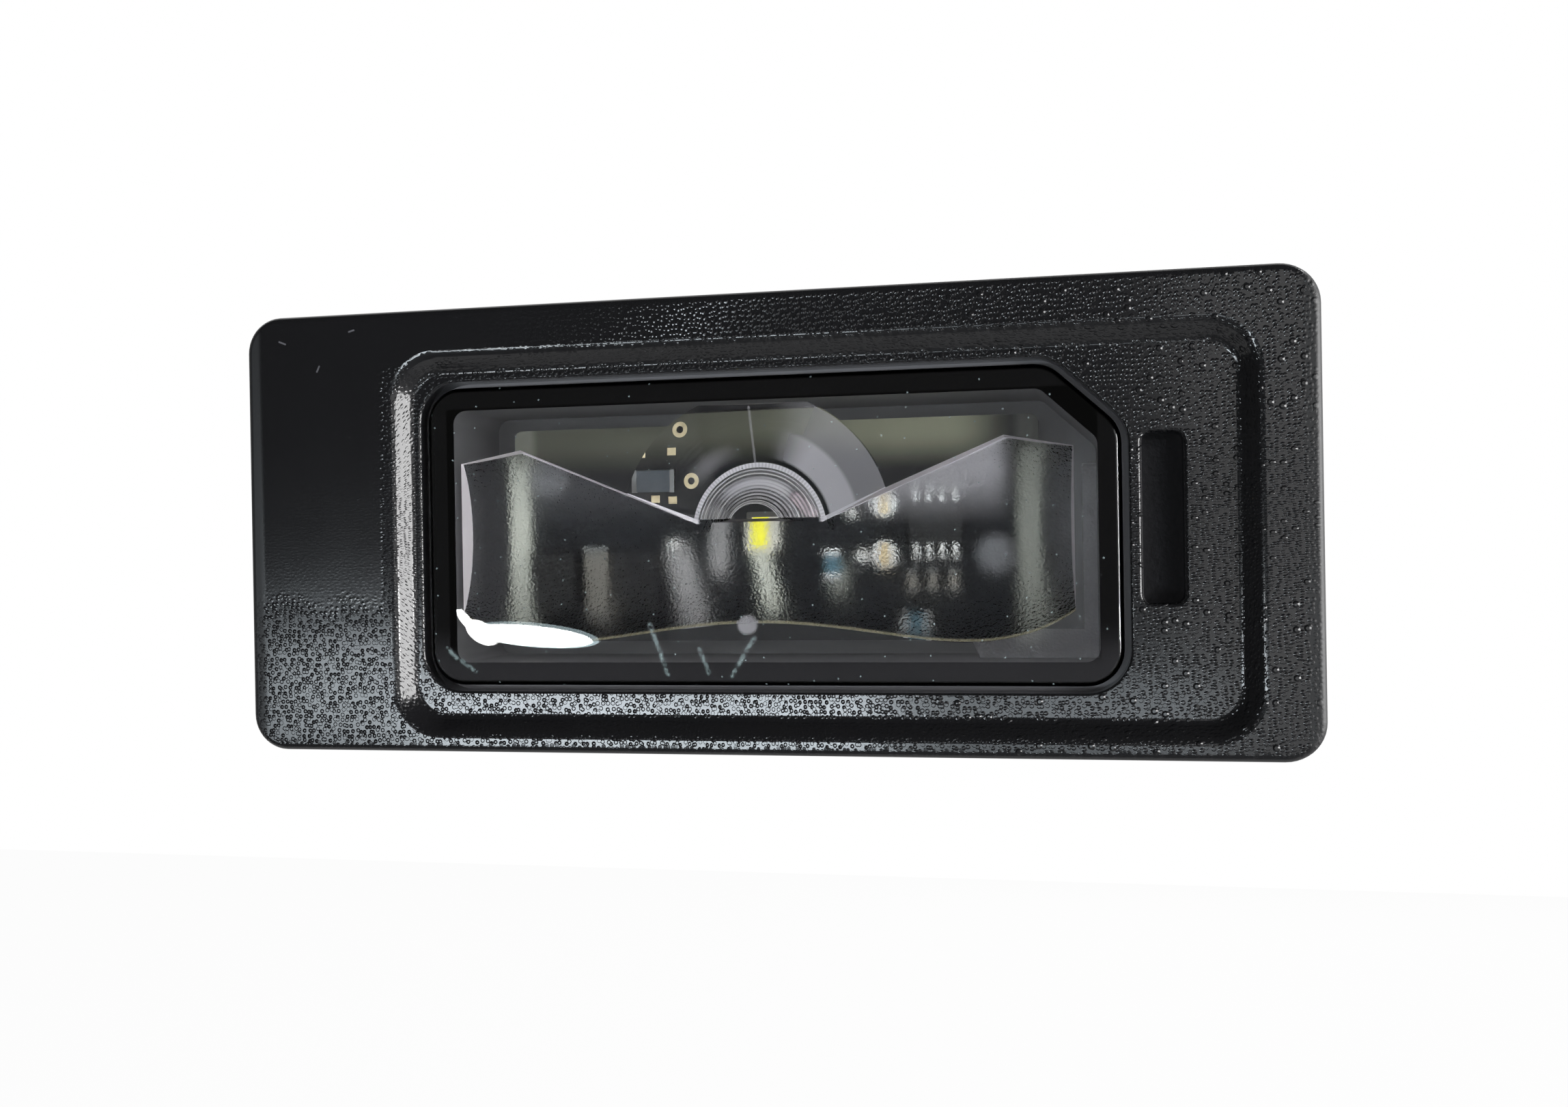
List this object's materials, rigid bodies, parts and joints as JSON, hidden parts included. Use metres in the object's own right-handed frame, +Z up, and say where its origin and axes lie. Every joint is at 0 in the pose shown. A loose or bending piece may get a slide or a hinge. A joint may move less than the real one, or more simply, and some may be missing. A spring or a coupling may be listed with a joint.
{
  "type": "number plate lamp",
  "caption": "Flat rectangular car lamp that lights a number plate: dished black flange, clear lens over a small lit board, plug socket, hook and spring behind.",
  "frame": {"origin": "middle of the seat rim on the back of the flange, on its plane", "axes": "+X along the lamp's length towards the release slot, +Y backwards into the car, +Z up as pictured; the lens faces -Y"},
  "size_m": [0.078, 0.025, 0.033],
  "materials": {
    "housing_plastic": "black moulded plastic with fine grain",
    "lens_clear": "clear polished plastic",
    "board_laminate": "dark solder mask with pale laminate edge",
    "led_ceramic": "white moulded package",
    "led_phosphor": "yellow phosphor in clear resin",
    "moulded_black": "black moulding with tinned leads",
    "chip_resistor": "ceramic chip with tinned ends",
    "chip_capacitor": "tan ceramic chip with tinned ends",
    "terminal_tin": "tinned brass",
    "solder": "bright solder",
    "spring_steel": "dark spring steel"
  },
  "bodies": {
    "root": {"housing": "housing_plastic", "lens": "lens_clear", "circuit_board": "board_laminate", "led_package": "led_ceramic", "led_phosphor": "led_phosphor", "reverse_diode": "moulded_black", "surge_diode": "moulded_black", "driver_ic": "moulded_black", "power_resistor": "chip_resistor", "resistor_1": "chip_resistor", "resistor_2": "chip_resistor", "resistor_3": "chip_resistor", "capacitor_1": "chip_capacitor", "capacitor_2": "chip_capacitor", "capacitor_3": "chip_capacitor", "terminal_pin_1": "terminal_tin", "terminal_pin_2": "terminal_tin", "solder_joint_1": "solder", "solder_joint_2": "solder", "retaining_spring": "spring_steel"}
  },
  "joints": []
}
